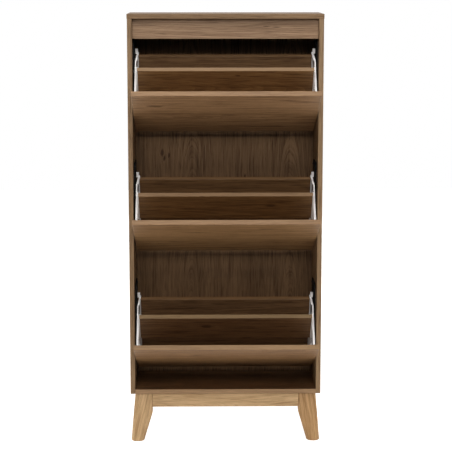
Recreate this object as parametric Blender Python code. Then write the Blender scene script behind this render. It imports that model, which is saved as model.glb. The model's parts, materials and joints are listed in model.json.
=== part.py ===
"""Tall shoe cabinet with three tip-out flaps on a splayed wooden base.

Frame: +X to the right, +Y from the front to the back, +Z up. The origin is on the floor, at the
middle of the box that the cabinet fills with its flaps open, which is how it is modelled.
Each flap is drawn shut, about its own pivot, and an empty on the pivot line tips it open.
"""
import math

import bmesh
import bpy
from mathutils import Matrix, Vector

for old in list(bpy.data.objects):
    bpy.data.objects.remove(old, do_unlink=True)

# ---------------------------------------------------------------- driving dimensions, in metres
WIDTH = 0.650                 # over the two side panels
DEPTH = 0.250                 # front edge of the sides to the back edge of the top panel
CARCASS_HEIGHT = 1.288        # underside of the bottom panel to the top face
LEG_HEIGHT = 0.172            # floor to the underside of the bottom panel
BOARD = 0.016                 # thickness of every panel but the back
BACK_THICKNESS = 0.004
BACK_RECESS = 0.001           # back panel in from the top panel's back edge
TOP_OVERHANG = 0.001          # top panel past each side
EDGE_ROUND = 0.0006           # eased edge of a banded board
FIT = 0.0003                  # gap between pieces that touch

RAIL_HEIGHT = 0.066           # front rail under the top panel
RAIL_RECESS = 0.020           # its face behind the front edges

TIERS = ("upper", "middle", "lower")
SIDE_GAP = 0.004              # flap to side panel, each side
TOP_GAP = 0.012               # top flap, shut, to the top panel
FINGER_GAP = 0.028            # from one shut flap to the next
BOTTOM_GAP = 0.024            # lowest flap, shut, to the bottom panel
OPEN_ANGLE = math.radians(67.5)
PIVOT_SETBACK = 0.075         # pivot line behind the flap's front face
PIVOT_RISE = 0.132            # pivot line above the flap's bottom edge

# Tip frame: a moulded plastic plate at each end of a flap. It carries both inner boards.
FRAME_GAP = 0.008             # side panel to the frame's outer face
FRAME_WEB = 0.003
FRAME_RIM = 0.0065            # rim's width across, web included
SLIM_RIM = 0.004              # its width along the arm's level top
SEAT_SLOT = 0.0027            # between the slim rim and the boards' seats
SEAT_END = 0.0018             # wall at a board's end
SEAT_LIP = 0.0019             # seat past the board's end
LIP_THIN = 0.0002             # lips behind the seat, in from its faces
FRAME_RIB = 0.0045            # height of the ribs on the web
FRAME_WALL = 0.0022           # thickness of rims and ribs
SEAT_WALL = 0.002             # thickness of a seat's lips and sole
WEB_SINK = 0.0005             # web's outer face in from the rim's edge
BACK_CLEARANCE = 0.013        # frame's rear tip to the back panel, flap shut
TIP_RISE = 0.0734             # rear tip above the pivot
TIP_DROP = 0.015              # rear board's top corner, in front of the tip
REAR_TOP_RISE = 0.0432        # rear board's top corner above the pivot
REAR_TOE_GAP = 0.0265         # rear board's foot behind the flap's inner face
REAR_TOE_DROP = 0.1147        # rear board's foot below the pivot
DIVIDER_TOP = Vector((0.0647, 0.1306))   # divider's top back corner from the pivot
DIVIDER_SLOPE = math.radians(24.6)       # its lean back from upright
DIVIDER_WIDTH = 0.118
SEAT_SHORT = 0.001            # seats end this far below their boards' top edges
DIVIDER_FREE = 0.053          # top stretch of each seat that stands clear of the web
REAR_FREE = 0.060
ARM_JOIN_RISE = 0.132         # where the arm meets the flap, above the pivot
ARM_RISE = 0.086              # top of the arm at the divider
ARM_DEPTH = 0.017
SHOULDER_BACK = 0.047         # arm's level top ends this far in front of the tip
NOTCH_BACK = 0.022            # its slope ends this far in front of the tip
NOTCH_DROP = 0.010            # and this far below it
JOGGLE = 0.0047               # web and rim step in towards the boards at the tip
JOGGLE_BACK = 0.058           # the step starts this far in front of the tip
HUB_RADIUS = 0.014
MOUNT_FLANGE = 0.019          # flange screwed to the flap, width across
FLANGE_THICKNESS = 0.0027
FLANGE_PROUD = 0.0001         # flange past the rim, so that it alone meets the flap
FLANGE_SHORT = 0.004          # flange below the arm's join
FLANGE_LIFT = 0.002           # flange above the frame's toe
STUD_RADIUS = 0.004           # stop stud, which runs in the hinge plate's slot
STUD_ORBIT = 0.090            # from the pivot
STUD_ANGLE = math.radians(25)            # above level, flap shut
STUD_REACH = 0.003            # into the slot

CORNER = 0.004                # rounded corners of the frame and its windows
FLAP_CORNER = 0.003           # where the frame meets the flap
SLOPE_CORNER = 0.006
BEND = 0.010                  # the two wide bends

WINDOW_MARGIN = 0.004         # web left beside a seat, and round the hub
FRONT_BAND = 0.014            # web left along the flap
HUB_BAND = 0.010              # web left above the pivot, in front of the divider
STUD_BAND = 0.014             # web left in front of the stud
SPOKE_BAND = 0.009            # web left below the spoke's middle
TOE_BAND = 0.012              # web left above the rear board's foot

TAB_FROM = Vector((-0.021, -0.010))      # tab under the tip, its two ends from the tip
TAB_TO = Vector((-0.005, -0.002))
TAB_WIDTH = 0.0112            # across
HUB_RIB_DROP = 0.005          # rib from the hub to the flap, below the pivot
SEAT_RIB_RISE = 0.002         # rib from the hub to the rear board's seat, up the seat
RIB_ROOT = 0.002              # how far both run into the hub
RELIEF_FRONT = 0.003          # slim rim starts this far in front of the divider's top corner
RELIEF_BACK = 0.052           # and ends this far in front of the tip
RELIEF_RISE = 0.010           # cut this far above the arm's level top

# Hinge plate: a black plastic plate on the side panel with the pivot pin and the stop slot.
PLATE_THICKNESS = 0.004
PLATE_FRONT = 0.020           # in front of the pivot line
PLATE_MARGIN = 0.0145         # plate behind the slot
PLATE_DROP = 0.022
PLATE_RISE = 0.200
PLATE_CORNER = 0.012
PIN_RADIUS = 0.005
RUNNING_GAP = 0.0003          # pin in hub, stud in slot, on the radius
HUB_END_GAP = 0.0005          # hub to plate

# Base
LEG_DEPTH = 0.045
LEG_RECESS = 0.012            # legs and apron behind the front edges
LEG_TOP_INSET = 0.016         # outer face at the top, in from the side
LEG_TOP_WIDTH = 0.0585
LEG_FOOT_WIDTH = 0.045
LEG_KNEE = 0.102              # height where the inner face starts to slant
LEG_TOP_ROUND = 0.004
LEG_FOOT_ROUND = 0.0205
FOOT_EASE = 0.002             # chamfer round the sole
TAPER_RINGS = 4               # sections between the sole and the knee
APRON_HEIGHT = 0.049
APRON_THICKNESS = 0.018

ROUND_FACETS = 24             # sides of the pin, hub and bore
STUD_FACETS = 16
SLOT_STEPS = 10               # facets along the slot
SLOT_END_STEPS = 6            # and round each of its ends
SHARP_ANGLE = math.radians(30)
MERGE = 0.0005                # how far one shape of a moulding runs into the next
OVERCUT = 0.010               # how far a cutter stands out of what it cuts
WELD = 1e-6                   # points closer than this are one

# ---------------------------------------------------------------- sizes that follow
INNER_HALF = WIDTH / 2 - BOARD
TOP_Z = LEG_HEIGHT + CARCASS_HEIGHT
UNDER_TOP = TOP_Z - BOARD
FLOOR_Z = LEG_HEIGHT + BOARD
INNER_HEIGHT = UNDER_TOP - FLOOR_Z
GAPS = TOP_GAP + BOTTOM_GAP + (len(TIERS) - 1) * FINGER_GAP
FLAP_HEIGHT = (INNER_HEIGHT - GAPS) / len(TIERS)
FLAP_HALF = INNER_HALF - SIDE_GAP
FLAP_TOP = FLAP_HEIGHT - PIVOT_RISE      # flap's top edge above the pivot

OPEN_SIN = math.sin(OPEN_ANGLE)
OPEN_COS = math.cos(OPEN_ANGLE)
OPEN_REACH = (PIVOT_SETBACK - EDGE_ROUND) * OPEN_COS + FLAP_TOP * OPEN_SIN - PIVOT_SETBACK
FRONT_Y = (OPEN_REACH - DEPTH) / 2
BACK_Y = FRONT_Y + DEPTH
PANEL_BACK_Y = BACK_Y - BACK_RECESS - BACK_THICKNESS    # front face of the back panel
PIVOT_Y = FRONT_Y + PIVOT_SETBACK

FRAME_OUT = INNER_HALF - FRAME_GAP       # outer face of the frame
SEAT_OUT = FRAME_OUT - SLIM_RIM - SEAT_SLOT
BOARD_END = SEAT_OUT - SEAT_END - FIT    # end of the inner boards, in their seats
SEAT_IN = BOARD_END - SEAT_LIP
INNER_FACE = BOARD - PIVOT_SETBACK       # flap's inner face from the pivot
FRAME_FRONT = INNER_FACE + FIT
PIVOT = Vector((0, 0))                   # flap shapes are drawn about it, seen from the right
TIP = Vector((PANEL_BACK_Y - PIVOT_Y - BACK_CLEARANCE, TIP_RISE))


# ---------------------------------------------------------------- materials
def material(name, colour, roughness):
    made = bpy.data.materials.new(name)
    made.use_nodes = True
    shader = made.node_tree.nodes["Principled BSDF"]
    shader.inputs["Base Color"].default_value = (*colour, 1.0)
    shader.inputs["Roughness"].default_value = roughness
    shader.inputs["Metallic"].default_value = 0.0
    made.diffuse_color = (*colour, 1.0)
    return made


OAK_FOIL = material("brown_oak_foil", (0.235, 0.157, 0.098), 0.55)
BACK_FOIL = material("back_panel_foil", (0.190, 0.130, 0.085), 0.60)
BASE_OAK = material("natural_oak", (0.500, 0.330, 0.180), 0.50)
WHITE_PLASTIC = material("white_plastic", (0.800, 0.780, 0.760), 0.40)
BLACK_PLASTIC = material("black_plastic", (0.022, 0.024, 0.027), 0.45)


# ---------------------------------------------------------------- mesh helpers
def finish(name, mesh, finish_material, parent=None):
    """Put a mesh in the scene as a named piece."""
    piece = bpy.data.objects.new(name, mesh)
    bpy.context.scene.collection.objects.link(piece)
    mesh.materials.clear()
    mesh.materials.append(finish_material)
    piece.parent = parent
    return piece


def mesh_from(bm, name):
    bmesh.ops.recalc_face_normals(bm, faces=bm.faces)
    mesh = bpy.data.meshes.new(name)
    bm.to_mesh(mesh)
    bm.free()
    return mesh


def board(name, low, high, finish_material, parent=None):
    """A panel between two corners, its edges eased."""
    bm = bmesh.new()
    bmesh.ops.create_cube(bm, size=1.0)
    for vertex in bm.verts:
        vertex.co = Vector(b if c > 0 else a for a, b, c in zip(low, high, vertex.co))
    bmesh.ops.bevel(bm, geom=bm.edges, offset=EDGE_ROUND, segments=1, affect="EDGES")
    return finish(name, mesh_from(bm, name), finish_material, parent)


def fillet(corners, steps=4):
    """Outline through (y, z, radius) corners, each one rounded with an arc."""
    outline = []
    for index, (y, z, radius) in enumerate(corners):
        here = Vector((y, z))
        before = Vector(corners[index - 1][:2]) - here
        after = Vector(corners[(index + 1) % len(corners)][:2]) - here
        if radius == 0:
            outline.append(here)
            continue
        half = before.angle(after) / 2
        reach = radius / math.tan(half)
        centre = here + (before.normalized() + after.normalized()).normalized() * radius / math.sin(half)
        start = here + before.normalized() * reach - centre
        turn = start.angle_signed(here + after.normalized() * reach - centre)
        for step in range(steps + 1):
            # angle_signed is positive clockwise
            angle = -turn * step / steps
            outline.append(centre + Matrix.Rotation(angle, 2) @ start)
    return outline


def ring(bm, outline, x):
    """A closed loop of edges at one x."""
    verts = [bm.verts.new((x, y, z)) for y, z in outline]
    return [bm.edges.new((a, b)) for a, b in zip(verts, verts[1:] + verts[:1])]


def slab(outline, x_from, x_to, holes=()):
    """An outline with holes, filled and extruded along X."""
    bm = bmesh.new()
    edges = ring(bm, outline, x_from)
    for hole in holes:
        edges += ring(bm, hole, x_from)
    bmesh.ops.triangle_fill(bm, use_beauty=True, edges=edges)
    grown = bmesh.ops.extrude_face_region(bm, geom=bm.faces[:])
    moved = [item for item in grown["geom"] if isinstance(item, bmesh.types.BMVert)]
    bmesh.ops.translate(bm, verts=moved, vec=(x_to - x_from, 0, 0))
    return bm


def circle(centre, radius, count=ROUND_FACETS):
    angles = [2 * math.pi * (index + 0.5) / count for index in range(count)]
    return [centre + radius * Vector((math.cos(angle), math.sin(angle))) for angle in angles]


def rectangle(low, high):
    return [Vector(low), Vector((high[0], low[1])), Vector(high), Vector((low[0], high[1]))]


def bar(start, end, side, thickness, x_from, x_to):
    """A straight rib from start to end, its thickness laid off towards side."""
    across = side.normalized() * thickness
    return slab([start, end, end + across, start + across], x_from, x_to)


def combine(name, base, steps):
    """Apply Boolean steps, each (operation, bmesh), to a base solid and return the mesh."""
    body = bpy.data.objects.new(name + "_blank", mesh_from(base, name))
    bpy.context.scene.collection.objects.link(body)
    tools = []
    for index, (operation, shape) in enumerate(steps):
        tool = bpy.data.objects.new(f"{name}_tool_{index}", mesh_from(shape, name))
        bpy.context.scene.collection.objects.link(tool)
        cut = body.modifiers.new(f"step_{index}", "BOOLEAN")
        cut.operation = operation
        cut.solver = "EXACT"
        cut.object = tool
        tools.append(tool)
    graph = bpy.context.evaluated_depsgraph_get()
    mesh = bpy.data.meshes.new_from_object(body.evaluated_get(graph))
    mesh.name = name
    for helper in [body] + tools:
        bpy.data.objects.remove(helper, do_unlink=True)
    return mesh


def mirrored(mesh, name):
    """The left-hand copy of a right-hand mesh."""
    bm = bmesh.new()
    bm.from_mesh(mesh)
    bmesh.ops.scale(bm, verts=bm.verts, vec=(-1, 1, 1))
    bmesh.ops.reverse_faces(bm, faces=bm.faces)
    copy = bpy.data.meshes.new(name)
    bm.to_mesh(copy)
    bm.free()
    return copy


# ---------------------------------------------------------------- carcass
def carcass():
    half = WIDTH / 2
    for side, sign in (("left", -1), ("right", 1)):
        inner, outer = sorted((sign * INNER_HALF, sign * half))
        board(f"side_panel_{side}", (inner, FRONT_Y, LEG_HEIGHT),
              (outer, PANEL_BACK_Y - FIT, UNDER_TOP - FIT), OAK_FOIL)
    reach = half + TOP_OVERHANG
    between = INNER_HALF - FIT
    board("top_panel", (-reach, FRONT_Y, UNDER_TOP), (reach, BACK_Y, TOP_Z), OAK_FOIL)
    board("bottom_panel", (-between, FRONT_Y, LEG_HEIGHT), (between, PANEL_BACK_Y - FIT, FLOOR_Z), OAK_FOIL)
    rail_y = FRONT_Y + RAIL_RECESS
    board("top_rail", (-between, rail_y, UNDER_TOP - RAIL_HEIGHT),
          (between, rail_y + BOARD, UNDER_TOP - FIT), OAK_FOIL)
    board("back_panel", (-half, PANEL_BACK_Y, LEG_HEIGHT),
          (half, PANEL_BACK_Y + BACK_THICKNESS, UNDER_TOP - FIT), BACK_FOIL)


# ---------------------------------------------------------------- base
def leg_outer(z):
    return WIDTH / 2 - LEG_TOP_INSET * z / LEG_HEIGHT


def leg_inner(z):
    top = WIDTH / 2 - LEG_TOP_INSET - LEG_TOP_WIDTH
    foot = WIDTH / 2 - LEG_FOOT_WIDTH
    return top + (foot - top) * max(0.0, 1 - z / LEG_KNEE)


def leg_round(z):
    share = max(0.0, 1 - z / LEG_KNEE)
    eased = share * share * (3 - 2 * share)
    return LEG_TOP_ROUND + (LEG_FOOT_ROUND - LEG_TOP_ROUND) * eased


def leg_section(z, inset):
    """Rounded rectangle across the leg at one height."""
    low = Vector((leg_inner(z) + inset, FRONT_Y + LEG_RECESS + inset))
    high = Vector((leg_outer(z) - inset, FRONT_Y + LEG_RECESS + LEG_DEPTH - inset))
    radius = leg_round(z) - inset
    return fillet([(corner.x, corner.y, radius) for corner in reversed(rectangle(low, high))], steps=5)


def leg_mesh():
    """The front right leg, lofted from its sole to its square top."""
    heights = [(0.0, FOOT_EASE), (FOOT_EASE, 0.0)]
    heights += [(LEG_KNEE * step / TAPER_RINGS, 0.0) for step in range(1, TAPER_RINGS + 1)]
    heights += [(LEG_HEIGHT - FIT, 0.0)]
    bm = bmesh.new()
    rings = [[bm.verts.new((x, y, z)) for x, y in leg_section(z, inset)] for z, inset in heights]
    for lower, upper in zip(rings, rings[1:]):
        for index, corner in enumerate(lower):
            after = (index + 1) % len(lower)
            bm.faces.new((corner, lower[after], upper[after], upper[index]))
    bm.faces.new(reversed(rings[0]))
    bm.faces.new(rings[-1])
    return mesh_from(bm, "leg")


def turned_back(mesh, name):
    """The rear leg, mirrored through the middle of the cabinet's depth."""
    bm = bmesh.new()
    bm.from_mesh(mesh)
    for vertex in bm.verts:
        vertex.co.y = FRONT_Y + BACK_Y - vertex.co.y
    bmesh.ops.reverse_faces(bm, faces=bm.faces)
    copy = bpy.data.meshes.new(name)
    bm.to_mesh(copy)
    bm.free()
    return copy


def base():
    front = leg_mesh()
    rear = turned_back(front, "rear_leg")
    for row, mesh in (("front", front), ("rear", rear)):
        for side, made in (("right", mesh), ("left", mirrored(mesh, row + "_left_leg"))):
            leg = finish(f"leg_{row}_{side}", made, BASE_OAK)
            leg.data.shade_smooth()
            leg.data.set_sharp_from_angle(angle=SHARP_ANGLE)
    reach = leg_inner(LEG_HEIGHT) - FIT
    low, high = LEG_HEIGHT - APRON_HEIGHT, LEG_HEIGHT - FIT
    first, last = FRONT_Y + LEG_RECESS, BACK_Y - LEG_RECESS
    board("apron_front", (-reach, first, low), (reach, first + APRON_THICKNESS, high), BASE_OAK)
    board("apron_rear", (-reach, last - APRON_THICKNESS, low), (reach, last, high), BASE_OAK)
    outer = leg_outer(LEG_HEIGHT)
    for side, sign in (("left", -1), ("right", 1)):
        near, far = sorted((sign * outer, sign * (outer - APRON_THICKNESS)))
        board(f"apron_{side}", (near, first + LEG_DEPTH + FIT, low),
              (far, last - LEG_DEPTH - FIT, high), BASE_OAK)


# ---------------------------------------------------------------- hinge plates
def polar(radius, angle):
    return Vector((radius * math.cos(angle), radius * math.sin(angle)))


def slot_outline():
    """Arc about the pivot with round ends, where the stop stud travels."""
    half = STUD_RADIUS + RUNNING_GAP
    start, end = STUD_ANGLE, STUD_ANGLE + OPEN_ANGLE
    angles = [start + (end - start) * step / SLOT_STEPS for step in range(SLOT_STEPS + 1)]
    outer = [polar(STUD_ORBIT + half, angle) for angle in angles]
    inner = [polar(STUD_ORBIT - half, angle) for angle in reversed(angles)]
    turns = [math.pi * step / SLOT_END_STEPS for step in range(1, SLOT_END_STEPS)]
    far = [polar(STUD_ORBIT, end) + polar(half, end + turn) for turn in turns]
    near = [polar(STUD_ORBIT, start) + polar(half, start + math.pi + turn) for turn in turns]
    return outer + far + inner + near


def hinge_plate_mesh():
    """Right-hand plate, about the pivot, with its pin."""
    against_side = INNER_HALF - FIT
    rear = polar(STUD_ORBIT + STUD_RADIUS + RUNNING_GAP, STUD_ANGLE).x + PLATE_MARGIN
    corners = rectangle((-PLATE_FRONT, -PLATE_DROP), (rear, PLATE_RISE))
    outline = fillet([(corner.x, corner.y, PLATE_CORNER) for corner in corners])
    plate = slab(outline, against_side - PLATE_THICKNESS, against_side, holes=[slot_outline()])
    pin = slab(circle(PIVOT, PIN_RADIUS), FRAME_OUT - FRAME_RIM, against_side - PLATE_THICKNESS / 2)
    return combine("hinge_plate", plate, [("UNION", pin)])


# ---------------------------------------------------------------- tip frame
def meet(line, other):
    """Where two lines, each a point and a direction, cross."""
    (point, along), (second, across) = line, other
    gap = second - point
    share = (gap.x * across.y - gap.y * across.x) / (along.x * across.y - along.y * across.x)
    return point + along * share


def rear_board_axes():
    """Front foot corner, direction up the board and its front normal."""
    top = Vector((TIP.x - TIP_DROP, REAR_TOP_RISE))
    foot = Vector((INNER_FACE + REAR_TOE_GAP, -REAR_TOE_DROP))
    span = top - foot
    slope = math.atan2(span.y, span.x) + math.asin(BOARD / span.length)
    along = Vector((math.cos(slope), math.sin(slope)))
    return foot, along, Vector((-along.y, along.x)), span.dot(along)


REAR_FOOT, REAR_UP, REAR_FACE, REAR_WIDTH = rear_board_axes()
DIVIDER_UP = Vector((math.sin(DIVIDER_SLOPE), math.cos(DIVIDER_SLOPE)))
DIVIDER_FACE = Vector((-DIVIDER_UP.y, DIVIDER_UP.x))
DIVIDER_FOOT = DIVIDER_TOP + DIVIDER_FACE * BOARD - DIVIDER_UP * DIVIDER_WIDTH
RIM_OFFSET = FIT + SEAT_WALL + 2 * (FRAME_WALL - SEAT_WALL)          # board's face to the rim's edge
ARM_FROM = Vector((FRAME_FRONT, ARM_JOIN_RISE))
ARM_ALONG = Vector((DIVIDER_TOP.x, ARM_RISE)) - ARM_FROM


def frame_outline():
    """Outer edge of the tip frame, shut, about the pivot."""
    heel = REAR_FOOT - REAR_FACE * (BOARD + RIM_OFFSET)
    toe = REAR_FOOT + REAR_FACE * RIM_OFFSET - REAR_UP * RIM_OFFSET
    corners = [(ARM_FROM, FLAP_CORNER),
               (ARM_FROM + ARM_ALONG, BEND),
               (Vector((TIP.x - SHOULDER_BACK, ARM_RISE)), BEND),
               (TIP - Vector((NOTCH_BACK, NOTCH_DROP)), SLOPE_CORNER),
               (TIP, CORNER),
               (heel + REAR_UP * (REAR_WIDTH + RIM_OFFSET), BEND),
               (heel - REAR_UP * RIM_OFFSET, CORNER),
               (toe, CORNER),
               (Vector((FRAME_FRONT, toe.y)), FLAP_CORNER)]
    return fillet([(point.x, point.y, radius) for point, radius in corners], steps=3)


def frame_windows():
    """Three openings in the web: before the divider, behind it and under the hub."""
    margin = RIM_OFFSET + WINDOW_MARGIN
    clear = HUB_RADIUS + WINDOW_MARGIN
    upright, across = Vector((0, 1)), Vector((1, 0))
    rail = (Vector((FRAME_FRONT + FRONT_BAND, 0)), upright)
    arm = (ARM_FROM - Vector((0, ARM_DEPTH)), ARM_ALONG)
    arm_level = (Vector((0, ARM_RISE - ARM_DEPTH)), across)
    divider_front = (DIVIDER_TOP + DIVIDER_FACE * (BOARD + margin), DIVIDER_UP)
    divider_back = (DIVIDER_TOP - DIVIDER_FACE * margin, DIVIDER_UP)
    rear = (REAR_FOOT + REAR_FACE * margin, REAR_UP)
    stud = (Vector((polar(STUD_ORBIT, STUD_ANGLE).x - STUD_BAND, 0)), upright)
    above_hub = (Vector((0, HUB_BAND)), across)
    below_hub = (Vector((0, -clear)), across)
    above_spoke = (REAR_UP * clear, REAR_FACE)
    below_spoke = (REAR_UP * -SPOKE_BAND, REAR_FACE)
    toe = (Vector((0, TOE_BAND - REAR_TOE_DROP)), across)
    front = (meet(rail, above_hub), meet(rail, arm),
             meet(arm, divider_front), meet(divider_front, above_hub))
    back = (meet(arm_level, divider_back), meet(arm_level, stud), meet(stud, rear),
            meet(rear, above_spoke), meet(above_spoke, divider_back))
    low = (meet(rail, below_hub), meet(below_hub, below_spoke), meet(below_spoke, rear),
           meet(rear, toe), meet(toe, rail))
    return [fillet([(point.x, point.y, CORNER) for point in window], steps=2)
            for window in (front, back, low)]


def rim_ring(outline, x_from, x_to):
    """The rim: a band inside the outline, extruded across."""
    bm = bmesh.new()
    face = bm.faces.new([bm.verts.new((x_from, y, z)) for y, z in outline])
    bm.normal_update()
    bmesh.ops.inset_region(bm, faces=[face], thickness=FRAME_WALL, use_boundary=True, use_even_offset=True)
    bmesh.ops.delete(bm, geom=[face], context="FACES_ONLY")
    grown = bmesh.ops.extrude_face_region(bm, geom=bm.faces[:])
    moved = [item for item in grown["geom"] if isinstance(item, bmesh.types.BMVert)]
    bmesh.ops.translate(bm, verts=moved, vec=(x_to - x_from, 0, 0))
    return bm


def inset_outline(outline, distance):
    """The outline moved inwards by a distance."""
    bm = bmesh.new()
    face = bm.faces.new([bm.verts.new((0, y, z)) for y, z in outline])
    bm.normal_update()
    bmesh.ops.inset_region(bm, faces=[face], thickness=distance, use_boundary=True, use_even_offset=True)
    moved = [Vector((vertex.co.y, vertex.co.z)) for vertex in face.verts]
    bm.free()
    return moved


def joggle_at(y):
    """How far the plate has stepped inwards, at a distance behind the pivot."""
    share = (y - TIP.x + JOGGLE_BACK) / (JOGGLE_BACK - NOTCH_BACK)
    return JOGGLE * min(1.0, max(0.0, share))


def joggled(mesh):
    """The plate with its rear tip stepped inwards."""
    bm = bmesh.new()
    bm.from_mesh(mesh)
    for y in (TIP.x - JOGGLE_BACK, TIP.x - NOTCH_BACK):
        everything = bm.verts[:] + bm.edges[:] + bm.faces[:]
        bmesh.ops.bisect_plane(bm, geom=everything, dist=WELD, plane_co=(0, y, 0), plane_no=(0, 1, 0))
    for vertex in bm.verts:
        vertex.co.x -= joggle_at(vertex.co.y)
    return bm


def board_seat(foot, up, face, width, free, x_buried):
    """Seat for a board's end, whose front bottom corner is foot, and the room for the board in it.

    The seat is a shallow cup. Behind its end wall two lips and a sole run on to the web, but not
    along its free top stretch, which stands clear.
    """
    length, root = width - SEAT_SHORT, width - free
    front, back = foot + face * FIT, foot - face * (BOARD + FIT)
    outer_front, outer_back = front + face * SEAT_WALL, back - face * SEAT_WALL
    below = -up * FIT
    sole = below - up * SEAT_WALL
    cup = slab([outer_front + up * length, outer_front + sole, outer_back + sole, outer_back + up * length],
               SEAT_IN, SEAT_OUT)
    room = slab([front + up * 2 * length, front + below, back + below, back + up * 2 * length],
                SEAT_IN - OVERCUT, SEAT_OUT - SEAT_END)
    lip, lift = face * LIP_THIN, sole + up * LIP_THIN
    lips = slab([outer_front - lip + up * root, outer_front - lip + lift, outer_back + lip + lift,
                 outer_back + lip + up * root, back + up * root, back + below,
                 front + below, front + up * root],
                SEAT_OUT - SEAT_END / 2, x_buried)
    return cup, lips, room


def frame_ribs(x_from, x_to):
    """Ribs on the web, from the hub to the flap and to the rear board's seat."""
    front = bar(Vector((FRAME_FRONT + MERGE, -HUB_RIB_DROP)),
                Vector((RIB_ROOT - HUB_RADIUS, -HUB_RIB_DROP)), Vector((0, 1)), FRAME_WALL, x_from, x_to)
    to_seat = REAR_FOOT - REAR_UP * REAR_UP.dot(REAR_FOOT)
    away = to_seat.normalized()
    lift = REAR_UP * SEAT_RIB_RISE
    rear = bar(away * (HUB_RADIUS - RIB_ROOT) + lift, to_seat - away * (FIT + MERGE) + lift,
               REAR_UP, FRAME_WALL, x_from, x_to)
    return front, rear


def tip_frame_mesh():
    """Right-hand tip frame, shut, about the pivot."""
    outline = frame_outline()
    rim_in = FRAME_OUT - FRAME_RIM
    web_in, web_out = FRAME_OUT - FRAME_WEB, FRAME_OUT - WEB_SINK
    buried = web_out - FRAME_WEB / 3
    plate_face = INNER_HALF - FIT - PLATE_THICKNESS
    web = slab(inset_outline(outline, FRAME_WALL / 2), web_in, web_out, holes=frame_windows())
    relief = slab(rectangle((DIVIDER_TOP.x - RELIEF_FRONT, ARM_RISE - CORNER),
                            (TIP.x - RELIEF_BACK, ARM_RISE + RELIEF_RISE)),
                  rim_in - OVERCUT, FRAME_OUT - SLIM_RIM)
    rim = rim_ring(outline, rim_in, FRAME_OUT)
    plate = joggled(combine("tip_plate", rim, [("DIFFERENCE", relief), ("UNION", web)]))

    *divider_seat, divider_room = board_seat(DIVIDER_FOOT, DIVIDER_UP, DIVIDER_FACE, DIVIDER_WIDTH,
                                             DIVIDER_FREE, buried)
    *rear_seat, rear_room = board_seat(REAR_FOOT, REAR_UP, REAR_FACE, REAR_WIDTH, REAR_FREE, buried)
    flange_front = FRAME_FRONT - FLANGE_PROUD
    flange = slab(rectangle((flange_front, outline[-1].y + FLANGE_LIFT),
                            (flange_front + FLANGE_THICKNESS, ARM_JOIN_RISE - FLANGE_SHORT)),
                  FRAME_OUT - MOUNT_FLANGE, buried)
    tab = bar(TIP + TAB_FROM, TIP + TAB_TO, Vector((1, -2)), FRAME_WALL, FRAME_OUT - TAB_WIDTH, FRAME_OUT)
    hub = slab(circle(PIVOT, HUB_RADIUS), rim_in, plate_face - HUB_END_GAP)
    bore = slab(circle(PIVOT, PIN_RADIUS + RUNNING_GAP), rim_in - OVERCUT, plate_face + OVERCUT)
    stud_spot = polar(STUD_ORBIT, STUD_ANGLE)
    stud = slab(circle(stud_spot, STUD_RADIUS, STUD_FACETS), buried - joggle_at(stud_spot.x),
                plate_face + STUD_REACH)
    ribs = frame_ribs(web_in - FRAME_RIB, web_in + MERGE)
    joined = (*divider_seat, *rear_seat, flange, tab, *ribs, hub)
    steps = [("UNION", shape) for shape in joined]
    steps += [("DIFFERENCE", bore), ("UNION", stud)]
    steps += [("DIFFERENCE", divider_room), ("DIFFERENCE", rear_room)]
    return combine("tip_frame", plate, steps)


# ---------------------------------------------------------------- flaps
def slanted_board(name, foot, up, face, length, finish_material, parent):
    """A board between the frames: foot is its front bottom corner seen from the end."""
    bm = bmesh.new()
    corners = [foot, foot + up * length, foot + up * length - face * BOARD, foot - face * BOARD]
    ends = [[bm.verts.new((x, y, z)) for y, z in corners] for x in (-BOARD_END, BOARD_END)]
    bm.faces.new(ends[0])
    bm.faces.new(reversed(ends[1]))
    for index in range(4):
        after = (index + 1) % 4
        bm.faces.new((ends[0][index], ends[1][index], ends[1][after], ends[0][after]))
    bmesh.ops.bevel(bm, geom=bm.edges, offset=EDGE_ROUND, segments=1, affect="EDGES")
    return finish(name, mesh_from(bm, name), finish_material, parent)


def flap(tier, pivot_z, frame_right, frame_left, plate_right, plate_left):
    pivot = bpy.data.objects.new(f"{tier}_flap_pivot", None)
    bpy.context.scene.collection.objects.link(pivot)
    pivot.location = (0, PIVOT_Y, pivot_z)
    pivot.rotation_euler = (OPEN_ANGLE, 0, 0)
    board(f"{tier}_flap", (-FLAP_HALF, -PIVOT_SETBACK, -PIVOT_RISE), (FLAP_HALF, INNER_FACE, FLAP_TOP),
          OAK_FOIL, pivot)
    slanted_board(f"{tier}_divider", DIVIDER_FOOT, DIVIDER_UP, DIVIDER_FACE, DIVIDER_WIDTH, OAK_FOIL, pivot)
    slanted_board(f"{tier}_rear_board", REAR_FOOT, REAR_UP, REAR_FACE, REAR_WIDTH, OAK_FOIL, pivot)
    finish(f"{tier}_tip_frame_right", frame_right, WHITE_PLASTIC, pivot)
    finish(f"{tier}_tip_frame_left", frame_left, WHITE_PLASTIC, pivot)
    for side, mesh in (("right", plate_right), ("left", plate_left)):
        plate = finish(f"{tier}_hinge_plate_{side}", mesh, BLACK_PLASTIC)
        plate.location = (0, PIVOT_Y, pivot_z)


def flaps():
    frame_right = tip_frame_mesh()
    frame_left = mirrored(frame_right, "tip_frame_left")
    plate_right = hinge_plate_mesh()
    plate_left = mirrored(plate_right, "hinge_plate_left")
    for row, tier in enumerate(reversed(TIERS)):
        pivot_z = FLOOR_Z + BOTTOM_GAP + PIVOT_RISE + row * (FLAP_HEIGHT + FINGER_GAP)
        flap(tier, pivot_z, frame_right, frame_left, plate_right, plate_left)


carcass()
base()
flaps()
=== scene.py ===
import json
import math

import bmesh
import bpy
from mathutils import Matrix, Vector


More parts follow.
